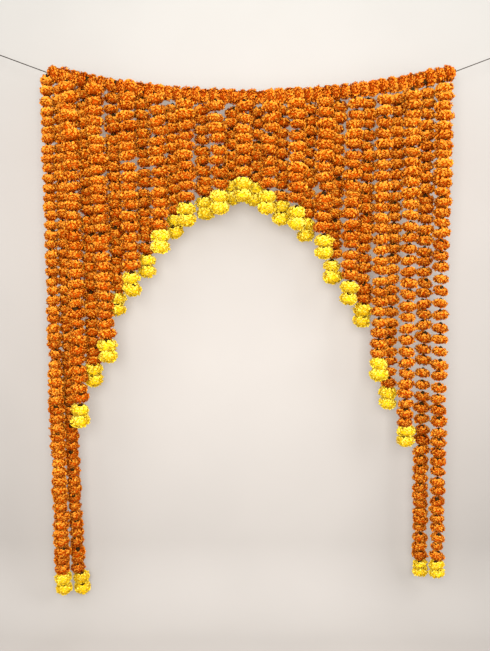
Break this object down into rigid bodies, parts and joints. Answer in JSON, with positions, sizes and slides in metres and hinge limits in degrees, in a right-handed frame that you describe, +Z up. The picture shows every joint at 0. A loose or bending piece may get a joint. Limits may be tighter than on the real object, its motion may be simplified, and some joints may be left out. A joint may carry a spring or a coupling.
{
  "type": "marigold door garland",
  "caption": "Arched curtain of orange marigold strands with yellow ends, hung across a doorway or wall by the looped ends of its head cord.",
  "frame": {"origin": "far end of the head cord's left loop, where it goes over its hook; everything hangs below it, at -Z", "axes": "+X along the garland from the left hook to the right hook, +Z up, the front faces -Y"},
  "size_m": [2.0459, 0.1114, 2.208],
  "materials": {
    "orange_petals": "soft matt petals, brighter orange at their curled tips and dark red-brown deep between them",
    "yellow_petals": "soft matt petals, pale lemon at their curled tips and olive gold deep between them",
    "calyx": "ribbed dark green cup, dull",
    "thread": "thin twisted thread, undyed",
    "cord": "rough twisted jute, dark and dry"
  },
  "bodies": {
    "root": {"head_cord": "cord", "top_row": "orange_petals", "strand_01_orange": "orange_petals", "strand_01_yellow": "yellow_petals", "strand_02_orange": "orange_petals", "strand_02_yellow": "yellow_petals", "strand_03_orange": "orange_petals", "strand_03_yellow": "yellow_petals", "strand_04_orange": "orange_petals", "strand_04_yellow": "yellow_petals", "strand_05_orange": "orange_petals", "strand_05_yellow": "yellow_petals", "strand_06_orange": "orange_petals", "strand_06_yellow": "yellow_petals", "strand_07_orange": "orange_petals", "strand_07_yellow": "yellow_petals", "strand_08_orange": "orange_petals", "strand_08_yellow": "yellow_petals", "strand_09_orange": "orange_petals", "strand_09_yellow": "yellow_petals", "strand_10_orange": "orange_petals", "strand_10_yellow": "yellow_petals", "strand_11_orange": "orange_petals", "strand_11_yellow": "yellow_petals", "strand_12_orange": "orange_petals", "strand_12_yellow": "yellow_petals", "strand_13_orange": "orange_petals", "strand_13_yellow": "yellow_petals", "strand_14_orange": "orange_petals", "strand_14_yellow": "yellow_petals", "strand_15_orange": "orange_petals", "strand_15_yellow": "yellow_petals", "strand_16_orange": "orange_petals", "strand_16_yellow": "yellow_petals", "strand_17_orange": "orange_petals", "strand_17_yellow": "yellow_petals", "strand_18_orange": "orange_petals", "strand_18_yellow": "yellow_petals", "strand_19_orange": "orange_petals", "strand_19_yellow": "yellow_petals", "strand_20_orange": "orange_petals", "strand_20_yellow": "yellow_petals", "strand_21_orange": "orange_petals", "strand_21_yellow": "yellow_petals", "strand_22_orange": "orange_petals", "strand_22_yellow": "yellow_petals", "strand_23_orange": "orange_petals", "strand_23_yellow": "yellow_petals", "strand_24_orange": "orange_petals", "strand_24_yellow": "yellow_petals", "strand_25_orange": "orange_petals", "strand_25_yellow": "yellow_petals", "strand_26_orange": "orange_petals", "strand_26_yellow": "yellow_petals", "strand_27_orange": "orange_petals", "strand_27_yellow": "yellow_petals", "strand_28_orange": "orange_petals", "strand_28_yellow": "yellow_petals", "strand_29_orange": "orange_petals", "strand_29_yellow": "yellow_petals"}
  },
  "joints": []
}
